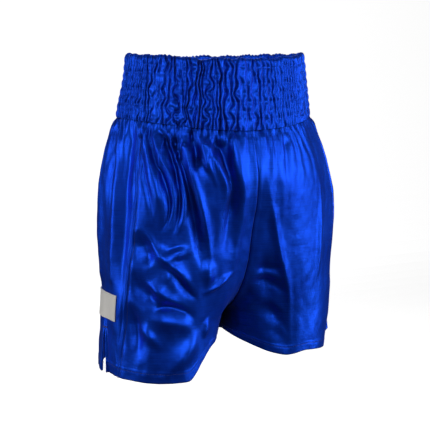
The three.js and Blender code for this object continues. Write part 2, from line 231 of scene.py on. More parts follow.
def outline_radius(degrees, z):
    """Distance from the leg's middle to the cloth: one oval at the waist, and one for each leg below."""
    cos, sin = np.cos(np.radians(degrees)), np.sin(np.radians(degrees))
    a, b = profile(SIDE_PROFILE, z), profile(DEPTH_PROFILE, z)
    qa = (cos / a) ** 2 + (sin / b) ** 2
    qb = 2 * LEG_CENTRE_X * cos / a**2
    qc = (LEG_CENTRE_X / a) ** 2 - 1
    body = (-qb + np.sqrt(qb * qb - 4 * qa * qc)) / (2 * qa)
    leg = 1 / np.hypot(cos / LEG_HALF_WIDTH, sin / LEG_HALF_DEPTH)
    return body + (leg - body) * profile(LEG_SHARE, z)


def lifted(degrees, level, side):
    """Real height of a level, which is lifted where the hem rises."""
    fade = np.clip(1 - level / RISE_FADES_AT, 0, 1) ** 2
    return level + profile(HEM_RISE[side], degrees) * fade


def inner_degrees(level, side, face):
    """Angle where the cloth meets the centre or inner leg seam, by halving. face is -1 for the back."""
    low = np.full_like(level, 90.0)
    high = np.full_like(level, 180.0)
    for _ in range(30):
        middle = (low + high) / 2
        z = lifted(face * middle, level, side)
        reach = -outline_radius(face * middle, z) * np.cos(np.radians(middle))
        past = reach > LEG_CENTRE_X
        high = np.where(past, middle, high)
        low = np.where(past, low, middle)
    return face * np.where(high > 179.99, 180.0, high)


# ---- Grids of cloth ----
FRONT_COLUMNS = 136
SIDE_COLUMNS = 72
BACK_COLUMNS = 112
ROWS = 210
PATH_STEPS = 24
NOISE_GAIN = 1.6


def side_seams(level, side):
    half = profile(SIDE_PANEL_DEGREES, level) / 2
    return VENT_DEGREES[side] + half, VENT_DEGREES[side] - half


def angle_grid(levels, side):
    """Angle of each column at each level, from the front's inner edge round to the back's inner edge."""
    front, back = side_seams(levels, side)
    stops = [inner_degrees(levels, side, 1), front, back, inner_degrees(levels, side, -1)]
    parts = []
    for start, end, count in zip(stops, stops[1:], (FRONT_COLUMNS, SIDE_COLUMNS, BACK_COLUMNS)):
        share = np.arange(count) / count
        parts.append(start[:, None] + (end - start)[:, None] * share)
    parts.append(stops[-1][:, None])
    return np.hstack(parts)


def path_distance(degrees, z, radius, path):
    """Distance over the cloth to a smooth path of (angle, height) points, and the share of it passed."""
    line = smooth_path(path, PATH_STEPS)
    best = np.full(degrees.shape, 1e9)
    share = np.zeros(degrees.shape)
    scale = np.radians(1) * radius
    for step, ((a0, z0), (a1, z1)) in enumerate(zip(line, line[1:])):
        px, pz = (degrees - a0) * scale, z - z0
        sx, sz = (a1 - a0) * scale, z1 - z0
        t = np.clip((px * sx + pz * sz) / (sx * sx + sz * sz + 1e-9), 0, 1)
        distance = np.hypot(px - t * sx, pz - t * sz)
        share = np.where(distance < best, (step + t) / (len(line) - 1), share)
        best = np.minimum(best, distance)
    return best, share


def fold_height(degrees, z, radius, folds):
    """Sum of the folds. Each fades in and out along its path, but runs at full height out of the waist."""
    total = np.zeros(degrees.shape)
    for height, width, path in folds:
        distance, share = path_distance(degrees, z, radius, path)
        taper = smoothstep(1.02, 0.55, share)
        if path[0][1] < FROM_WAIST:
            taper = taper * smoothstep(-0.02, 0.4, share)
        reach = FOLD_WIDEN * width * (0.6 + 0.4 * taper)
        total += height * taper * np.exp(-((distance / reach) ** FOLD_SHARPNESS))
    return total * FOLD_SCALE


def noise_field(points, scale, seed):
    """Smooth noise between about -1 and 1, with features about scale millimetres across."""
    flat = points.reshape(-1, 3) / scale + seed * 17.3
    values = [noise.noise(Vector(p)) for p in flat]
    return np.array(values).reshape(points.shape[:-1]) * NOISE_GAIN


def outward(points, side):
    """Unit normals of one half's grid, pointing out of the shorts."""
    along = np.gradient(points, axis=1)
    up = np.gradient(points, axis=0)
    return unit(np.cross(up, along)) * -side


def base_grid(levels, side):
    """Points of one half's cloth before its folds, with their angles and radii."""
    degrees = angle_grid(levels, side)
    level = np.broadcast_to(levels[:, None], degrees.shape)
    z = lifted(degrees, level, side)
    low = smoothstep(LEG_SHAPE_FADES_AT, 0, z)
    behind = VENT_DEGREES[side] - degrees
    tuck = smoothstep(80, 0, z) * smoothstep(80, 30, -behind) * smoothstep(0, 6, -behind)
    flare = low * smoothstep(78, 22, behind) * smoothstep(-3, 2, behind)
    radius = outline_radius(degrees, z) - INNER_FLATNESS[side] * low * bell((degrees - 145) / 30)
    radius = radius - FRONT_TUCK[side] * tuck + FLAP_FLARE[side] * flare
    x = side * (LEG_CENTRE_X + radius * np.cos(np.radians(degrees)))
    y = -radius * np.sin(np.radians(degrees))
    return np.stack([x, y, z], axis=-1), degrees, radius


def edge_fade(degrees, distance):
    """0 at both inner edges of a half and 1 beyond the given distance in degrees."""
    from_front = degrees[:, :1] - degrees
    from_back = degrees - degrees[:, -1:]
    return smoothstep(0, distance, np.minimum(from_front, from_back))


def on_seams(points, levels, side):
    """Puts both inner edges back on the centre seam, or closes them on the inner leg seam."""
    crotch = np.argmin(np.abs(lifted(180.0, levels, side) - CROTCH_Z))
    points[crotch:, [0, -1], 0] = 0
    points[crotch, [0, -1], 1] = 0
    points[:crotch, [0, -1]] = (points[:crotch, [0]] + points[:crotch, [-1]]) / 2
    return points


def half_grid(side, levels):
    """One half's cloth with its folds, almost flat under the patch and held in at the waist seam."""
    points, degrees, radius = base_grid(levels, side)
    level = np.broadcast_to(levels[:, None], degrees.shape)
    z = points[..., 2]
    folds = (RIGHT_FOLDS if side < 0 else LEFT_FOLDS) + BACK_FOLDS
    height = fold_height(degrees, z, radius, folds)
    height += UNEVENNESS[side] * noise_field(points * (1, 1, 0.4), 34, 3)
    under_patch = smoothstep(30, 12, np.abs(degrees - VENT_DEGREES[side])) * smoothstep(150, 120, z)
    height *= (1 - PATCH_FLATTENS * under_patch) * edge_fade(degrees, 14)
    free = smoothstep(SEAM_Z, SEAM_Z - 16, z)
    height = np.minimum(height * (0.35 + 0.65 * free), FOLD_CREST_LIMIT * free - 0.4)
    points = points + outward(points, side) * height[..., None]
    points = on_seams(points, levels, side)
    points[..., 2] += waist_curve(waist_turn(points)) * smoothstep(SEAM_Z - 75, SEAM_Z, level)
    points[..., 0] += LEAN * smoothstep(SEAM_Z - 10, SEAM_Z - 130, points[..., 2])
    return points


# ---- Around the waist ----
FRONT_TURN = -math.pi / 2
CALM_TURN = -0.65  # the pleats are shallower here, at the wearer's front left
CORNER_TURN = -0.5  # the rim stands a little higher here
CRUSH_TURN = FRONT_TURN - 0.65  # the pleats are crushed together here
PINCH_TURN = FRONT_TURN - 0.5  # the rim has a small nick here
PLEATS = 122
PLEAT_DEPTH = 3.4
OUTER_PLEATS = 100  # seeds of the pleats outside and inside the band
INNER_PLEATS = 300


def whole_turn(count):
    return np.arange(count) / count * 2 * math.pi


def waist_turn(points):
    return np.arctan2(points[..., 1] / SEAM_HALF[1], points[..., 0] / SEAM_HALF[0])


def near(turn, middle, width):
    """1 at one direction, and a smooth fall to nothing around it. Angles go round past -pi and pi."""
    return bell(((turn - middle + math.pi) % (2 * math.pi) - math.pi) / width)


def waist_curve(turn):
    """The waist seam rises at the sides and dips at the front."""
    return 9 * np.cos(turn) ** 2 - 7 * near(turn, FRONT_TURN, 0.8)


def periodic_waves(turn, waves, seed):
    """Smooth random curve round the waist, between about -1 and 1, made of a few whole waves."""
    random = np.random.default_rng(seed)
    total = np.zeros_like(turn)
    for _ in range(5):
        count = random.integers(max(1, waves // 2), waves * 2)
        total += random.uniform(0.4, 1) * np.sin(count * turn + random.uniform(0, 2 * math.pi))
    return total / 2.2


def row_lean(turn, row, seed):
    """How far the pleats lean sideways where they cross a row of elastic, as a share of a pleat."""
    return 0.28 * periodic_waves(turn, 26, seed + row) + 0.05 * (-1) ** row


def pleat_phase(turn, lean, seed):
    """Number of pleats passed on the way round. They lean further where the band is crushed."""
    crushed = 1 + 1.6 * near(turn, CRUSH_TURN, 0.45)
    return PLEATS * turn / (2 * math.pi) + crushed * lean + 0.9 * periodic_waves(turn, 7, seed + 40)


def scatter(count, seed):
    """An even but unordered value from 0 to 1 for each whole number."""
    value = np.sin(count * 12.9898 + seed * 78.233) * 43758.5453
    return value - np.floor(value)


def pleat_ridges(phase, row, between, seed):
    """Rounded ridges parted by deep clefts of uneven length. between is 0 on the elastic and 1 midway."""
    wave = 0.5 + 0.5 * np.cos(2 * math.pi * phase)
    number = np.round(phase) % PLEATS
    depth = 0.4 + 0.5 * scatter(number, seed) + 0.3 * scatter(number + 0.37 * row, seed + 1)
    crest = (1 - wave) ** 5 * scatter(np.floor(phase) % PLEATS, seed + 2)
    return 0.7 - wave**2.2 * depth * (0.85 + 0.25 * between) + 0.35 * crest


def calm(turn):
    return 1 - 0.55 * near(turn, CALM_TURN, 0.5)


# ---- Materials ----
# Lengths in materials are in metres.
WAVE_PERIOD = 0.314  # of a wave texture at scale 1


def feed(socket, value):
    """Links an input to an output, or sets its value."""
    if isinstance(value, bpy.types.NodeSocket):
        socket.id_data.links.new(value, socket)
    else:
        socket.default_value = value


def fill(item, values):
    """Feeds a node's inputs by name, with _ for a space. Other names are the node's own settings."""
    for key, value in values.items():
        name = key.replace("_", " ")
        if name in item.inputs:
            feed(item.inputs[name], value)
        else:
            setattr(item, key, value)


def node(tree, kind, **values):
    item = tree.nodes.new("ShaderNode" + kind)
    fill(item, values)
    return item


def maths(tree, operation, first, second):
    item = node(tree, "Math", operation=operation)
    feed(item.inputs[0], first)
    feed(item.inputs[1], second)
    return item.outputs[0]


def new_material(name):
    material = bpy.data.materials.new(name)
    material.use_nodes = True
    tree = material.node_tree
    return material, tree, tree.nodes["Principled BSDF"]


def ramp(tree, factor, stops):
    """A blend between two colours, each given with its place."""
    item = node(tree, "ValToRGB", Fac=factor)
    for element, (position, colour) in zip(item.color_ramp.elements, stops):
        element.position = position
        element.color = (*colour, 1)
    return item.outputs["Color"]


def weave_bump(tree, shader, thread, strength, crinkle=0.0):
    """Fine warp and weft bump from the cloth's own UVs, with an optional soft crinkle."""
    uv = node(tree, "UVMap", uv_map="cloth").outputs["UV"]
    warp, weft = [
        node(
            tree, "TexWave", bands_direction=direction, Vector=uv, Scale=WAVE_PERIOD / thread,
            Distortion=0.6, Detail=1, Detail_Scale=2,
        ).outputs["Fac"]
        for direction in ("X", "Y")
    ]
    height = maths(tree, "MAXIMUM", warp, weft)
    weave = node(tree, "Bump", Strength=strength, Distance=thread * 0.3, Height=height)
    if crinkle:
        position = node(tree, "TexCoord").outputs["Object"]
        soft = node(tree, "TexNoise", Scale=90, Detail=3, Roughness=0.55, Vector=position)
        bump = node(tree, "Bump", Strength=crinkle, Distance=0.0012, Height=soft.outputs["Fac"])
        fill(weave, {"Normal": bump.outputs["Normal"]})
    fill(shader, {"Normal": weave.outputs["Normal"]})
    return height


def stretched_noise(tree, along, across):
    """Fine streaks that run round the cloth, from its own UVs."""
    uv = node(tree, "UVMap", uv_map="cloth").outputs["UV"]
    place = node(tree, "Mapping", Scale=(1 / along, 1 / across, 1), Vector=uv).outputs["Vector"]
    return node(tree, "TexNoise", Scale=1, Detail=3, Roughness=0.7, Vector=place).outputs["Fac"]


def painted_fold_shade(tree, colour, reach):
    """Painted shade in the folds: the colour fades to almost black where the cloth folds in on itself within
    reach.
    """
    open_air = node(tree, "AmbientOcclusion", samples=6, Distance=reach).outputs["AO"]
    share = node(tree, "MapRange", Value=open_air, From_Min=0.3, From_Max=0.9, To_Min=0.04)
    dimmed = node(tree, "VectorMath", operation="SCALE", Vector=colour, Scale=share.outputs["Result"])
    return dimmed.outputs["Vector"]


def satin_material(name, crinkle, sheen, reach):
    material, tree, shader = new_material(name)
    position = node(tree, "TexCoord").outputs["Object"]
    cloud = node(tree, "TexNoise", Scale=14, Detail=4, Roughness=0.6, Vector=position).outputs["Fac"]
    streaks = stretched_noise(tree, 0.05, 0.0011)
    tone = maths(tree, "MULTIPLY", maths(tree, "ADD", cloud, streaks), 0.5)
    blue = ramp(tree, tone, [(0.36, (0.003, 0.040, 0.52)), (0.64, (0.007, 0.088, 0.86))])
    rough = node(tree, "MapRange", Value=cloud, To_Min=0.37, To_Max=0.46)
    fill(shader, {
        # painted shade: the base colour darkens where the cloth folds in on itself
        "Base Color": painted_fold_shade(tree, blue, reach),
        "Roughness": rough.outputs["Result"],
        "Metallic": 0.76,
        "Anisotropic": 0.3,
        "Specular IOR Level": 0.2,
        "Specular Tint": (0.3, 0.5, 1, 1),
        "Sheen Weight": sheen,
        "Sheen Roughness": 0.4,
        "Sheen Tint": (0.4, 0.55, 1, 1),
    })
    weave_bump(tree, shader, 0.00035, 0.25, crinkle)
    return material


def woven_material(name, light, shaded_tone, roughness, thread, strength):
    """Matt woven cloth in two close tones, the darker one a painted shade where the threads lie low in the weave.
    """
    material, tree, shader = new_material(name)
    height = weave_bump(tree, shader, thread, strength)
    # painted shade: the colour follows the weave's height and is darker where the threads lie low
    colour = ramp(tree, height, [(0.2, shaded_tone), (0.8, light)])
    fill(shader, {"Base Color": colour, "Roughness": roughness, "Sheen Weight": 0.2})
    return material


def thread_material(name, light, shaded_tone):
    """Twisted sewing thread or cord: fine diagonal strands from the object's own coordinates, with painted shade
    in the grooves between them.
    """
    material, tree, shader = new_material(name)
    position = node(tree, "TexCoord").outputs["Object"]
    strands = node(tree, "TexWave", bands_direction="DIAGONAL", Scale=400, Distortion=1.5, Vector=position)
    height = strands.outputs["Fac"]
    bump = node(tree, "Bump", Strength=0.5, Distance=0.0002, Height=height)
    # painted shade: the colour follows the strands' height and is darker in the grooves
    colour = ramp(tree, height, [(0.1, shaded_tone), (0.7, light)])
    fill(shader, {
        "Base Color": colour, "Normal": bump.outputs["Normal"], "Roughness": 0.5, "Sheen Weight": 0.3,
    })
    return material


# reach is how far the painted shade in the folds reaches, in metres.
SATIN = satin_material("satin_blue", crinkle=0.36, sheen=0.06, reach=0.04)
SATIN_BAND = satin_material("satin_blue_gathered", crinkle=0.2, sheen=0.16, reach=0.006)
# The second colour of each material here is its tone in painted shade, used low in the weave and in the grooves
# between strands.
PATCH = woven_material("woven_patch", (0.96, 0.94, 0.90), (0.84, 0.82, 0.77), 0.6, 0.0006, 0.5)
ELASTIC = woven_material("elastic_white", (0.85, 0.85, 0.82), (0.6, 0.6, 0.57), 0.8, 0.0012, 0.7)
THREAD = thread_material("thread_blue", (0.004, 0.045, 0.40), (0.002, 0.02, 0.22))
PALE_THREAD = thread_material("thread_pale", (0.80, 0.78, 0.72), (0.52, 0.50, 0.46))
CORD = thread_material("cord_white", (0.86, 0.86, 0.82), (0.58, 0.58, 0.54))

# ---- Mesh helpers ----


def grid_faces(rows, columns, first=0):
    index = first + np.arange(rows * columns).reshape(rows, columns)
    corners = [index[:-1, :-1], index[:-1, 1:], index[1:, 1:], index[1:, :-1]]
    return np.stack(corners, axis=-1).reshape(-1, 4)


def ring_faces(rows, columns, closed_rows=False):
    """Faces of a grid that closes on itself along its columns, and across its rows if asked."""
    index = np.arange(rows * columns).reshape(rows, columns)
    after = np.roll(index, -1, axis=1)
    above = np.roll(index, -1, axis=0)
    corner = np.roll(after, -1, axis=0)
    faces = np.stack([index, after, corner, above], axis=-1)
    return (faces if closed_rows else faces[:-1]).reshape(-1, 4)


def linked_object(name, points, faces, material, smooth=True):
    """A mesh object from points in metres."""
    mesh = bpy.data.meshes.new(name)
    mesh.from_pydata(points, [], faces)
    mesh.update()
    mesh.polygons.foreach_set("use_smooth", [smooth] * len(mesh.polygons))
    mesh.materials.append(material)
    item = bpy.data.objects.new(name, mesh)
    bpy.context.scene.collection.objects.link(item)
    return item


def mesh_object(name, points, faces, material, slot, uv=None):
    """A mesh object from any grid of points in millimetres, with an optional UV in metres for each."""
    points = points.reshape(-1, 3)
    item = linked_object(name, (points * MM).tolist(), faces.tolist(), material)
    mesh = item.data
    layer = mesh.uv_layers.new(name="cloth")
    loops = np.empty(len(mesh.loops), np.int32)
    mesh.loops.foreach_get("vertex_index", loops)
    values = points[:, :2] * MM if uv is None else uv.reshape(-1, 2)
    layer.data.foreach_set("uv", values[loops].ravel())
    return item


def run_along(line):
    """Length passed at each point of a line."""
    steps = np.linalg.norm(np.diff(line, axis=0), axis=1)
    return np.concatenate([[0], np.cumsum(steps)])


def column_distance(points, column):
    """Distance over the cloth, along its rows, from one column."""
    steps = np.linalg.norm(np.diff(points, axis=1), axis=-1)
    along = np.concatenate([np.zeros((len(points), 1)), np.cumsum(steps, axis=1)], axis=1)
    return along - along[:, column][:, None]


def cloth_uv(points):
    """Length along each row of a grid, from its middle, and height, in metres."""
    middle = points.shape[1] // 2
    return np.stack([column_distance(points, middle), points[..., 2]], axis=-1) * MM


def tube(path, across, other, radius, sides):
    """Rings of points around a path. The radius may differ from ring to ring and around each ring."""
    angle = whole_turn(sides)[:, None]
    ring = across[..., None, :] * np.cos(angle) + other[..., None, :] * np.sin(angle)
    return path[..., None, :] + ring * radius[..., None]


def thicken(item, thickness, offset=-1):
    modifier = item.modifiers.new("thickness", "SOLIDIFY")
    modifier.thickness = thickness * MM
    modifier.offset = offset
    modifier.use_even_offset = False
    graph = bpy.context.evaluated_depsgraph_get()
    mesh = bpy.data.meshes.new_from_object(item.evaluated_get(graph))
    item.modifiers.clear()
    item.data = mesh


def swing(item):
    """Bakes the object's placing into its mesh."""
    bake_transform(item)


def stand_for(item, node_name, body):
    """Takes the place of one CAD piece, on a rigid body."""
    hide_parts(node_name)
    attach(item, body)


# ---- Panels ----
CLOTH_THICKNESS = 0.7
HEM_DEPTH = 17
HEM_STEP = 0.5
HEM_STITCH = 14
SEAM_LINE = 2.0
STITCH_GROOVE = 0.35
PUCKER = 0.45  # of the cloth beside the hem's stitching
CREASES = 0.35
STREAKS = 0.55  # upright ones
PLEATS_FADE_BELOW = 13  # the pleats run this far down into the panels
GATHERS_FADE_BELOW = 42
GATHER_DEPTH = 2.6
SIDE_FRONT = FRONT_COLUMNS
SIDE_BACK = SIDE_FRONT + SIDE_COLUMNS
LAST_COLUMN = SIDE_BACK + BACK_COLUMNS
VENT_COLUMN = SIDE_FRONT + SIDE_COLUMNS // 2
VENT_GAP = {-1: 7, 1: 6}
VENT_SPREAD = 12  # columns on each side of the vent that move with its edges
REAR_SHARE = 0.7  # the rear edge moves this share of the front edge's way


def seam_profile(distance, ridge, groove):
    """A raised line with a soft groove on each side of it."""
    d = distance / SEAM_LINE
    return ridge * bell(d) - groove * bell(np.abs(d) - 1.9)


def fine_detail(points, levels, side):
    """Height of the gathers, seams, hem and small creases over the folded cloth."""
    level = np.broadcast_to(levels[:, None], points.shape[:2])
    drop = SEAM_Z - level
    turn = waist_turn(points)
    phase = pleat_phase(turn, row_lean(turn, 0, OUTER_PLEATS), OUTER_PLEATS)
    pleats = pleat_ridges(phase, 0, 0.5, OUTER_PLEATS)
    height = PLEAT_DEPTH * pleats * calm(turn) * np.exp(-drop / PLEATS_FADE_BELOW)
    wander = 0.5 * noise_field(points * (1, 1, 0.25), 30, 8 + side)
    gathers = np.cos(2 * math.pi * (phase / 3 + wander)) * calm(turn)
    height += GATHER_DEPTH * gathers * np.exp(-drop / GATHERS_FADE_BELOW) * smoothstep(0, 12, drop)
    for column in (SIDE_FRONT, SIDE_BACK):
        height += seam_profile(column_distance(points, column), ridge=0.9, groove=0.6)
    for column in (0, -1):
        height += seam_profile(column_distance(points, column), ridge=-0.4, groove=-0.3)
    height += HEM_STEP * smoothstep(HEM_DEPTH + 1.2, HEM_DEPTH - 0.8, level)
    height -= STITCH_GROOVE * bell((level - HEM_STITCH) / 1.1)
    height += PUCKER * noise_field(points * (1, 1, 0.4), 9, 12) * bell((level - HEM_STITCH) / 9)
    height += CREASES * noise_field(points * (1, 1, 0.6), 11, 21)
    height += STREAKS * noise_field(points * (1, 1, 0.3), 15, 31) * smoothstep(0, 20, drop)
    return height


class Half:
    """The finished cloth of one side: a grid of points with their normals, and the vent's rear edge."""

    def __init__(self, side_name):
        self.name = side_name
        self.side = SIDES[side_name]
        self.levels = np.linspace(0, SEAM_Z, ROWS)
        points = half_grid(self.side, self.levels)
        normal = outward(points, self.side)
        normal[:, [0, -1], 0] = 0
        self.points = points + normal * fine_detail(points, self.levels, self.side)[..., None]
        self.split = np.searchsorted(self.levels, VENT_HEIGHT)
        self.rear_edge = self.open_vent()
        self.normals = outward(self.points, self.side)

    def open_vent(self):
        """Parts the cloth below the vent's top. The grid keeps the front edge and the rear is returned."""
        gap = VENT_GAP[self.side] * np.clip(1 - self.levels[: self.split] / VENT_HEIGHT, 0, 1) ** 0.8
        ahead = np.stack([0 * gap, -gap, 0 * gap], axis=-1)
        low = self.points[: self.split]
        rear = low[:, VENT_COLUMN] - REAR_SHARE * ahead
        for offset in range(VENT_SPREAD):
            share = (1 - offset / VENT_SPREAD) ** 2
            low[:, VENT_COLUMN - offset] += ahead * share
            if offset:
                low[:, VENT_COLUMN + offset] -= REAR_SHARE * ahead * share
        return rear

    def row(self, level):
        return level / SEAM_Z * (len(self.levels) - 1)

    def at(self, row, column):
        """Points and normals at any places in the grid."""
        r = np.clip(np.asarray(row, float), 0, self.points.shape[0] - 1.001)
        c = np.clip(np.asarray(column, float), 0, self.points.shape[1] - 1.001)
        r, c = np.broadcast_arrays(r, c)
        r0, c0 = r.astype(int), c.astype(int)
        fr, fc = (r - r0)[..., None], (c - c0)[..., None]
        found = []
        for grid in (self.points, self.normals):
            low = grid[r0, c0] * (1 - fc) + grid[r0, c0 + 1] * fc
            high = grid[r0 + 1, c0] * (1 - fc) + grid[r0 + 1, c0 + 1] * fc
            found.append(low * (1 - fr) + high * fr)
        return found

    def beside(self, column, offsets, rows):
        """The columns that lie at some distances from a seam's column, each at its own row."""
        distance = column_distance(self.points, column)
        whole = np.arange(self.points.shape[1])
        pairs = zip(*np.broadcast_arrays(offsets, rows))
        return np.array([np.interp(offset, distance[int(row)], whole) for offset, row in pairs])


def panel(half, kind, first, last):
    """One sewn panel. The side panel is parted at its vent, and its rear edge has points of its own."""
    part = half.points[:, first : last + 1]
    rows, columns = part.shape[:2]
    faces = grid_faces(rows, columns)
    uv = cloth_uv(part).reshape(-1, 2)
    points = part.reshape(-1, 3)
    if kind == "side":
        vent = VENT_COLUMN - first
        edge = np.arange(half.split) * columns + vent
        behind = np.isin(faces, edge) & (faces.max(axis=1)[:, None] % columns > vent)
        faces = np.where(behind, rows * columns + faces // columns, faces)
        points = np.concatenate([points, half.rear_edge])
        uv = np.concatenate([uv, uv[edge]])
    if half.side < 0:
        faces = faces[:, ::-1]
    item = mesh_object(f"{kind}_panel_{half.name}", points, faces, SATIN, "satin", uv)
    thicken(item, CLOTH_THICKNESS)
    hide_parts(f"{kind}_panel_hip_{half.name}", f"{kind}_panel_leg_{half.name}")
    swing(item)


HALVES = {side_name: Half(side_name) for side_name in SIDES}
for half in HALVES.values():
    panel(half, "front", 0, SIDE_FRONT)
    panel(half, "side", SIDE_FRONT, SIDE_BACK)
    panel(half, "back", SIDE_BACK, LAST_COLUMN)

# ---- Waistband ----
BAND_COLUMNS = 1250
OUTER_ROWS = 56
RIM_ROWS = 6
INNER_ROWS = 14
BAND_OVERLAP = 0.5  # the casing hangs this far over the panels' top edge
SEAM_ALLOWANCE = 4.0  # and this far below it inside
ELASTIC_COLUMNS = 420
ELASTIC_THICKNESS = 1.2
ELASTIC_EDGE = [0.5, 1, 1, 1, 1, 1, 0.5]  # share of that thickness across the strip
DEEPEST_CLEFT = -2.1
HIGHEST_RIM = 5.0


def band_point(turn, z, depth):
    half = SEAM_HALF + BAND_SLOPE * (np.asarray(z)[..., None] - SEAM_Z) - np.asarray(depth)[..., None]
    return np.stack([half[..., 0] * np.cos(turn), half[..., 1] * np.sin(turn), z + 0 * turn], axis=-1)


def pleat_height(turn, share, seed):
    """Pleats that zigzag from one elastic row to the next. share is 0 at the seam and 1 at the rim."""
    place = share * ELASTIC_ROWS
    row = np.minimum(place.astype(int), ELASTIC_ROWS - 1)
    t = place - row
    lean = np.array([row_lean(turn[0], k, seed) for k in range(ELASTIC_ROWS + 1)])
    column = np.arange(turn.shape[-1])
    shift = lean[row, column] + (lean[row + 1, column] - lean[row, column]) * t
    between = np.sin(math.pi * t)
    ridges = pleat_ridges(pleat_phase(turn, shift, seed), row, between, seed)
    up = 0.6 * share * (TOP_Z - SEAM_Z)
    spots = np.stack([np.cos(turn) * SEAM_HALF[0], np.sin(turn) * SEAM_HALF[1], up], axis=-1)
    crushed = 0.35 + 0.9 * near(turn, CRUSH_TURN, 0.4)
    crinkle = crushed * (0.6 - 1.8 * np.abs(noise_field(spots, 9, seed)))
    return np.maximum(ridges * calm(turn) * PLEAT_DEPTH + crinkle, DEEPEST_CLEFT), between


def band_sway(turn, share):
    """The band's own slow unevenness: it leans, bows and dips a little round the waist."""
    out = 1.8 * periodic_waves(turn, 5, 7) * (0.3 + share) + 1.0 * periodic_waves(turn, 13, 11) * share
    out -= 3.8 * near(turn, CORNER_TURN + math.pi, 0.8) * smoothstep(0.1, 0.6, share)
    dip = -6.5 * near(turn, FRONT_TURN, 0.9)
    pinch = -3.5 * near(turn, PINCH_TURN, 0.07)
    back = -4.0 * near(turn, -FRONT_TURN, 0.9)
    corner = 4.0 * near(turn, CORNER_TURN, 0.3)
    top = (dip + pinch + back + corner + 1.3 * periodic_waves(turn, 17, 19)) * share**1.5
    up = np.minimum(top, HIGHEST_RIM) + waist_curve(turn) * (1 - share) ** 1.5
    return np.stack([out * np.cos(turn), out * np.sin(turn), up], axis=-1)


def band_share(z):
    return np.clip((z - SEAM_Z) / (TOP_Z - SEAM_Z), 0, 0.999)


def band_mesh():
    """One strip: up the outside, over the rim and down the inside."""
    rim_radius = CASING_DEPTH / 2
    bend_z = TOP_Z - rim_radius
    outer = np.linspace(SEAM_Z - BAND_OVERLAP, bend_z, OUTER_ROWS)
    inner = np.linspace(bend_z, SEAM_Z - SEAM_ALLOWANCE, INNER_ROWS)
    bend = np.linspace(0, math.pi, RIM_ROWS + 2)[1:-1]
    z = np.concatenate([outer, bend_z + rim_radius * np.sin(bend), inner])
    facing = np.concatenate([np.zeros(OUTER_ROWS), bend, np.full(INNER_ROWS, math.pi)])[:, None]
    zz, tt = np.meshgrid(z, whole_turn(BAND_COLUMNS), indexing="ij")
    depth = np.broadcast_to(rim_radius * (1 - np.cos(facing)), zz.shape)
    share = band_share(zz)
    outer_pleats, outer_puff = pleat_height(tt, share, OUTER_PLEATS)
    inner_pleats, inner_puff = pleat_height(tt, share, INNER_PLEATS)
    inside = smoothstep(0.2 * math.pi, 0.8 * math.pi, facing)
    lift = (outer_pleats + 1.1 * outer_puff) * (1 - inside) + 0.45 * (inner_pleats + inner_puff) * inside
    out = np.cos(facing)
    level_out = [out * np.cos(tt) / SEAM_HALF[0], out * np.sin(tt) / SEAM_HALF[1], 0 * tt]
    direction = unit(np.stack(level_out, axis=-1)) * np.abs(out)[..., None]
    direction[..., 2] += np.sin(facing)
    return band_point(tt, zz, depth) + direction * lift[..., None] + band_sway(tt, share)


def build_casing():
    points = band_mesh()
    wrapped = np.concatenate([points, points[:, :1]], axis=1)
    uv = cloth_uv(wrapped)[:, :-1]
    item = mesh_object("waistband", points, ring_faces(*points.shape[:2]), SATIN_BAND, "satin", uv)
    stand_for(item, "waistband_casing", "waist")


def build_elastic(row):
    """A flat woven strip with fine cross ribs."""
    low, high = box_mm(f"elastic_strip_{row}")
    across = len(ELASTIC_EDGE)
    up = np.linspace(low[2] + 0.8, high[2] - 1.2, across)
    face = np.repeat([[1.0], [-1.0]], across, axis=0)
    edge = np.array(ELASTIC_EDGE * 2)[:, None]
    zz, tt = np.meshgrid(np.concatenate([up, up[::-1]]), whole_turn(ELASTIC_COLUMNS), indexing="ij")
    ribs = 0.12 * np.sin(tt * ELASTIC_COLUMNS / 2) * edge
    depth = CASING_DEPTH / 2 - face * (ELASTIC_THICKNESS / 2 * edge + ribs)
    points = band_point(tt, zz, depth) + band_sway(tt, band_share(zz))
    uv = np.stack([tt * SEAM_HALF[0], zz], axis=-1) * MM
    faces = ring_faces(2 * across, ELASTIC_COLUMNS, closed_rows=True)
    item = mesh_object(f"elastic_{row}", points, faces, ELASTIC, "elastic", uv)
    stand_for(item, f"elastic_strip_{row}", "waist")


build_casing()
for row in range(1, ELASTIC_ROWS + 1):
    build_elastic(row)

# ---- Cord ----
CORD_RADIUS = 1.4
CORD_STRANDS = 4
STRAND_DEPTH = 0.18  # of the groove between two strands, as a share of the radius
CORD_TIP = 0.05  # share of the radius left at an end
CORD_SIDES = 16
CORD_TWIST = 0.9
CORD_EXIT_TURN = 0.115  # from the centre front to each hole
CORD_POINTS = 700
TAIL_POINTS = 260
KNOT_STEPS = 13


def rope_mesh(path):
    """Points and faces of a twisted cord along a path, drawn in at both ends."""
    tangent = unit(np.gradient(path, axis=0))
    across = unit(np.cross(tangent, np.array([0.31, 0.17, 0.93])))
    twisted = whole_turn(CORD_SIDES) + run_along(path)[:, None] * CORD_TWIST
    strand = np.abs(np.cos(CORD_STRANDS / 2 * twisted))
    radius = CORD_RADIUS * (1 - STRAND_DEPTH * (1 - strand))
    radius[[0, -1]] *= CORD_TIP
    points = tube(path, across, np.cross(tangent, across), radius, CORD_SIDES)
    return points, ring_faces(len(path), CORD_SIDES)


def build_draw_cord():
    low, high = box_mm("draw_cord")
    turn = np.linspace(FRONT_TURN + CORD_EXIT_TURN, FRONT_TURN + 2 * math.pi - CORD_EXIT_TURN, CORD_POINTS)
    z = np.full_like(turn, (low[2] + high[2]) / 2)
    path = band_point(turn, z, np.full_like(turn, CASING_DEPTH / 2)) + band_sway(turn, band_share(z))
    item = mesh_object("drawstring", *rope_mesh(path), CORD, "cord")
    stand_for(item, "draw_cord", "waist")


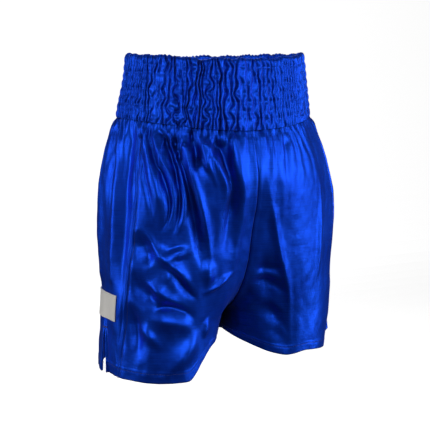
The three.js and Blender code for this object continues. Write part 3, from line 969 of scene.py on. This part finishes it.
def build_cord_tail(side_name):
    """The tail leaves its hole, drops down the inside of the waistband and ends in a knot."""
    low, high = box_mm(f"cord_tail_{side_name}")
    side = SIDES[side_name]
    hinge = np.array(JOINTS[f"cord_end_{side_name}_swing"]["pos_m"]) / MM
    inwards = (high[1] - low[1]) / 2
    drop = high[2] - low[2]
    down = [(0, -0.2, 0), (0.2, 0.8, 3), (1.5, 1, 12), (4, 1.1, 30), (5, 1, 48), (3, 0.9, 66)]
    path = [hinge + (side * x, y * inwards, -z) for x, y, z in down]
    knot_centre = hinge + (side * 2.6, inwards, -(drop - 18))
    for step in range(KNOT_STEPS):
        angle = step / (KNOT_STEPS - 1) * 3.2 * math.pi
        coil = (2.3 * math.cos(angle), 2.3 * math.sin(angle), 3.4 - step * 0.55)
        path.append(knot_centre + np.array(coil) * (side, 1, 1))
    path += [hinge + (side * 3.4, inwards, -(drop - 8)), hinge + (side * 4.4, inwards, -drop + 1)]
    item = mesh_object(f"cord_end_{side_name}", *rope_mesh(smooth_path(path, TAIL_POINTS)), CORD, "cord")
    stand_for(item, f"cord_tail_{side_name}", f"cord_end_{side_name}")


build_draw_cord()
for side_name in SIDES:
    build_cord_tail(side_name)

# ---- Labels ----
PATCH_ROWS = 44
PATCH_COLUMNS = 70
PATCH_LIFT = (0.5, 1.6)  # its back and its face, above the cloth
PATCH_RIB_PITCH = 1.3
SMOOTHING_PASSES = 60
STITCH_INSET = 2.2  # from the edge of the patch to its stitching
TAG_ROWS = 60
TAG_COLUMNS = 20
TAG_THICKNESS = 0.3


def slab(outer, inner):
    """Points and faces of a closed thin piece between two matching grids."""
    rows, columns = outer.shape[:2]
    count = rows * columns
    index = np.arange(count).reshape(rows, columns)
    rim = np.concatenate([index[0, :-1], index[:-1, -1], index[-1, :0:-1], index[:0:-1, 0]])
    after = np.roll(rim, -1)
    sides = np.stack([after, rim, rim + count, after + count], axis=-1)
    back = grid_faces(rows, columns, count)[:, ::-1]
    return np.concatenate([outer, inner]), np.concatenate([grid_faces(rows, columns), back, sides])


def build_patch(half):
    """The blank woven patch, sewn flat over the head of the vent, with a raised woven edge."""
    level = np.linspace(*LABEL_Z, PATCH_ROWS)
    offset = np.linspace(-LABEL_WIDTH / 2, LABEL_WIDTH / 2, PATCH_COLUMNS)
    column = half.beside(VENT_COLUMN, offset, half.row(sum(LABEL_Z) / 2))
    points, _ = half.at(half.row(level)[:, None], column[None, :])
    for _ in range(SMOOTHING_PASSES):
        around = points[:-2, 1:-1] + points[2:, 1:-1] + points[1:-1, :-2] + points[1:-1, 2:]
        points[1:-1, 1:-1] = around / 4
    normals = outward(points, half.side)
    across = np.minimum(offset - offset[0], offset[-1] - offset)
    up = np.minimum(level - level[0], level[-1] - level)
    from_edge = np.minimum(across[None, :], up[:, None])
    border = 0.25 * smoothstep(3.2, 2.4, from_edge) - 0.35 * bell((from_edge - STITCH_INSET) / 0.7)
    ribs = 0.05 * np.sin(level[:, None] * 2 * math.pi / PATCH_RIB_PITCH)
    inner = points + normals * PATCH_LIFT[0]
    outer = points + normals * (PATCH_LIFT[1] + border + ribs)[..., None]
    uv = np.stack(np.meshgrid(offset, level), axis=-1) * MM
    points, faces = slab(outer[:, ::-1], inner[:, ::-1])
    item = mesh_object("woven_patch", points, faces, PATCH, "label", np.concatenate([uv, uv]))
    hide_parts("label_patch")
    swing(item)
    return outer, normals


def build_care_label():
    """A folded satin tag, two layers with a soft fold at the bottom, hanging from its sewn edge."""
    low, high = box_mm("care_label")
    width, length = high[0] - low[0], high[2] - low[2]
    t = np.linspace(0, 1, TAG_ROWS)
    x = np.linspace(low[0], high[0], TAG_COLUMNS)
    fold = np.clip((t - 0.5) * 2, -1, 1)
    drop = length * (1 - np.abs(fold)) - TAG_THICKNESS
    share = drop / length
    gap = 0.55 * np.sign(fold) * np.minimum(1, np.abs(fold) * 14)
    y = (low[1] + high[1]) / 2 - 1.6 * share**2 + gap
    bow = 0.8 * share[:, None] * ((x - x.mean()) / width * 2)[None, :] ** 2
    grids = np.broadcast_arrays(x[None, :], y[:, None] - bow, (high[2] - drop)[:, None])
    points = np.stack(grids, axis=-1)
    uv = np.stack(np.meshgrid(x, t * 2 * length), axis=-1) * MM
    item = mesh_object("care_tag", points, grid_faces(TAG_ROWS, TAG_COLUMNS), PATCH, "label", uv)
    thicken(item, TAG_THICKNESS, 0)
    stand_for(item, "care_label", "care_tag")


# ---- Stitching ----
STITCH_LENGTH = 2.6
STITCH_PITCH = 3.3
SEAM_STITCH = 4  # from the side seams to the stitching beside them
VENT_STITCH = 5
STITCH_RADIUS = 0.24
TACK_RADIUS = 0.34
STITCH_SIDES = 6
STITCH_WIDTH = [0.4, 1, 1, 1, 1, 0.4]  # along the stitch


def stitch_mesh(starts, ends, normals, radius):
    """Many small thread loops, each rising from its first hole and going back in at its end."""
    rings = len(STITCH_WIDTH)
    share = np.linspace(0, 1, rings)
    rise = np.sin(math.pi * share) ** 0.5 * 1.5 - 0.6
    along = ends - starts
    across = np.cross(unit(along), normals)
    path = starts[:, None] + along[:, None] * share[:, None] + normals[:, None] * (rise * radius)[:, None]
    width = np.array(STITCH_WIDTH)[:, None] * radius
    points = tube(path, across[:, None], normals[:, None], width, STITCH_SIDES)
    count = rings * STITCH_SIDES
    first_points = count * np.arange(len(starts))
    walls = ring_faces(rings, STITCH_SIDES)
    end = np.arange(STITCH_SIDES)
    caps = np.array([end[::-1], count - STITCH_SIDES + end])
    faces = []
    for part in (walls, caps):
        faces += (part + first_points[:, None, None]).reshape(-1, part.shape[1]).tolist()
    return points.reshape(-1, 3), faces


def along_line(points, normals):
    """Start, end and normal of each stitch along a line on the cloth."""
    run = run_along(points)
    first = np.arange(STITCH_PITCH / 2, run[-1] - STITCH_LENGTH, STITCH_PITCH)

    def at(where, values):
        return np.stack([np.interp(where, run, values[:, k]) for k in range(3)], axis=1)

    return at(first, points), at(first + STITCH_LENGTH, points), at(first + STITCH_LENGTH / 2, normals)


def thread_object(name, stitches, material, radius=STITCH_RADIUS):
    """One object for all the stitches of a seam or a piece, given as sets of starts, ends and normals."""
    starts, ends, normals = (np.concatenate(parts) for parts in zip(*stitches))
    points, faces = stitch_mesh(starts, ends, normals, radius)
    item = linked_object(name, (points * MM).tolist(), faces, material)
    swing(item)
    return item


def hem_line(half):
    return half.at(half.row(HEM_STITCH), np.linspace(0, LAST_COLUMN, 900))


def upright_line(half, column, offset, low, high, count):
    """A line beside a seam, from one level to another."""
    rows = np.linspace(half.row(low), half.row(high), count)
    return half.at(rows, half.beside(column, offset, rows))


def bar_tack(half):
    """Close zigzag stitches across the head of the vent."""
    width, height, count = 9.0, 2.6, 16
    middle = half.row(VENT_HEIGHT + 3.5)
    columns = half.beside(VENT_COLUMN, np.linspace(-width / 2, width / 2, count), middle)
    reach = half.row(height / 2)
    low, normals = half.at(middle - reach, columns)
    high, _ = half.at(middle + reach, columns)
    lift = 0.3 * normals
    return low + lift, high + lift, normals


def build_stitching(half):
    edges = ((SIDE_FRONT, -SEAM_STITCH), (SIDE_BACK, SEAM_STITCH))
    seams = [upright_line(half, *edge, 2, SEAM_Z - 6, 220) for edge in edges]
    offsets = (-VENT_STITCH, VENT_STITCH)
    vents = [upright_line(half, VENT_COLUMN, offset, 3, VENT_HEIGHT + 4, 60) for offset in offsets]
    for kind, lines in (("hem", [hem_line(half)]), ("side", seams), ("vent", vents)):
        stitches = [along_line(*line) for line in lines]
        thread_object(f"{kind}_stitching_{half.name}", stitches, THREAD)
    tack = [bar_tack(half)]
    item = thread_object(f"bar_tack_{half.name}", tack, THREAD, TACK_RADIUS)
    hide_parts(f"vent_bar_tack_{half.name}")


def build_patch_stitching(outer, normals):
    """Pale stitches along all four edges of the patch."""
    height = LABEL_Z[1] - LABEL_Z[0]
    inset_r = round(STITCH_INSET / height * (PATCH_ROWS - 1))
    inset_c = round(STITCH_INSET / LABEL_WIDTH * (PATCH_COLUMNS - 1))
    rows = slice(inset_r, PATCH_ROWS - inset_r)
    columns = slice(inset_c, PATCH_COLUMNS - inset_c)
    edges = [(inset_r, columns), (-1 - inset_r, columns), (rows, inset_c), (rows, -1 - inset_c)]
    stitches = [along_line(outer[edge], normals[edge]) for edge in edges]
    thread_object("patch_stitching", stitches, PALE_THREAD)


build_patch_stitching(*build_patch(HALVES["right"]))
build_care_label()
for half in HALVES.values():
    build_stitching(half)

# ---- Stage, light and camera ----
# Sizes here are in metres.
FLOOR_Z = -0.5
BACKDROP = [(-3.0, 0), (1.6, 0), (2.0, 0.05), (2.3, 0.3), (2.4, 4)]  # (y, height above the floor)
LIGHT_TARGET = (0, 0, 0.24)
LIGHTS = {  # place, size and power
    "left": ((-2.1, 0.5, 0.5), (0.5, 1.3), 16),
    "right": ((1.8, -1.5, 0.4), (1.3, 1.8), 32),
    "front": ((-0.9, -2.1, 1.0), (0.7, 0.6), 18),
    "top": ((0, 0.2, 2.4), (1.2, 0.8), 6),
    "back": ((0.3, 2.0, 1.0), (1.6, 1.0), 12),
}
WORLD_GLOW = 0.012  # on the object. The camera sees an almost white world.
CAMERA_DEGREES = -27
CAMERA_DISTANCE = 1.6
CAMERA_HEIGHT = 0.478
CAMERA_TARGET = (0, 0, 0.228)


def aim(item, place, target):
    item.location = place
    item.rotation_euler = (Vector(target) - Vector(place)).to_track_quat("-Z", "Y").to_euler()
    bpy.context.scene.collection.objects.link(item)


def build_stage():
    """A pale floor that curves up behind the object. It neither lights the satin nor shows in it."""
    material, _, shader = new_material("backdrop_white")
    fill(shader, {
        "Base Color": (0.8, 0.8, 0.8, 1),
        "Roughness": 0.9,
        "Emission Color": (1, 1, 1, 1),
        "Emission Strength": 0.8,
    })
    points = [(x, y, FLOOR_Z + height) for y, height in BACKDROP for x in (-5, 5)]
    faces = grid_faces(len(BACKDROP), 2).tolist()
    item = linked_object("backdrop", points, faces, material, smooth=False)
    rounding = item.modifiers.new("smooth", "SUBSURF")
    rounding.levels = rounding.render_levels = 3
    item.visible_diffuse = False
    item.visible_glossy = False


def build_light(name, place, size, power):
    data = bpy.data.lights.new(name, "AREA")
    data.shape = "RECTANGLE"
    data.size, data.size_y = size
    data.energy = power
    aim(bpy.data.objects.new(name, data), place, LIGHT_TARGET)


def build_world():
    world = bpy.data.worlds.new("studio")
    world.use_nodes = True
    tree = world.node_tree
    seen = node(tree, "LightPath").outputs["Is Camera Ray"]
    strength = node(tree, "MapRange", Value=seen, To_Min=WORLD_GLOW, To_Max=0.9).outputs["Result"]
    fill(tree.nodes["Background"], {"Color": (1, 1, 1, 1), "Strength": strength})
    bpy.context.scene.world = world
    bpy.context.scene.view_settings.view_transform = "Standard"


def build_camera():
    """Three-quarter view from the wearer's front right, level with the rim and tilted down."""
    turn = math.radians(CAMERA_DEGREES)
    place = (math.sin(turn) * CAMERA_DISTANCE, -math.cos(turn) * CAMERA_DISTANCE, CAMERA_HEIGHT)
    data = bpy.data.cameras.new("camera")
    data.lens = 87
    data.sensor_width = 36
    item = bpy.data.objects.new("camera", data)
    aim(item, place, CAMERA_TARGET)
    bpy.context.scene.camera = item


build_stage()
for name, light in LIGHTS.items():
    build_light(name, *light)
build_world()
build_camera()
